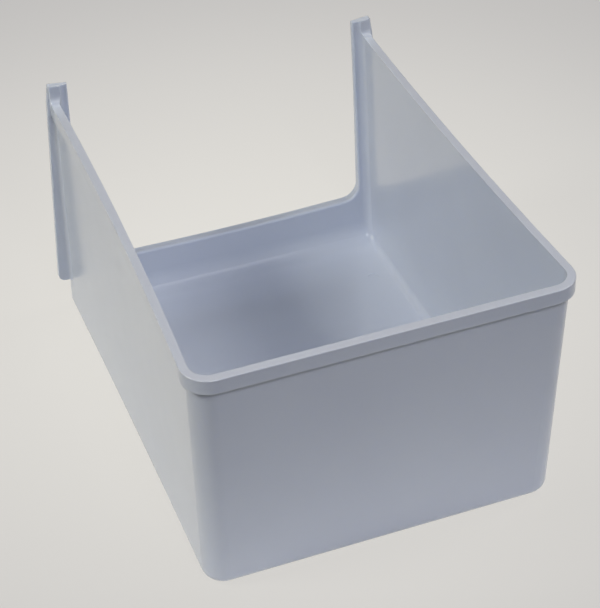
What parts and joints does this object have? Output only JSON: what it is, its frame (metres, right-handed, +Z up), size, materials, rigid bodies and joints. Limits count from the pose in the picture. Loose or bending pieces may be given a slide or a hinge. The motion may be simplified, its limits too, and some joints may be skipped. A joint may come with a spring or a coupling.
{
  "type": "fridge crisper drawer",
  "caption": "Deep open-topped moulded fridge bin with a turned-down rim, a low wall with a wide cut-out and upright posts beside it; holds fruit and vegetables.",
  "frame": {"origin": "on the ground, under the middle of the drawer's box", "axes": "+Z up; the full-height wall faces -Y, the cut-out wall and its posts stand at +Y, +X is to the right for someone facing the full-height wall"},
  "size_m": [0.232, 0.296, 0.1729],
  "materials": {
    "white_plastic": "satin-gloss moulded plastic, cool white"
  },
  "bodies": {
    "root": {"drawer_body": "white_plastic"}
  },
  "joints": []
}
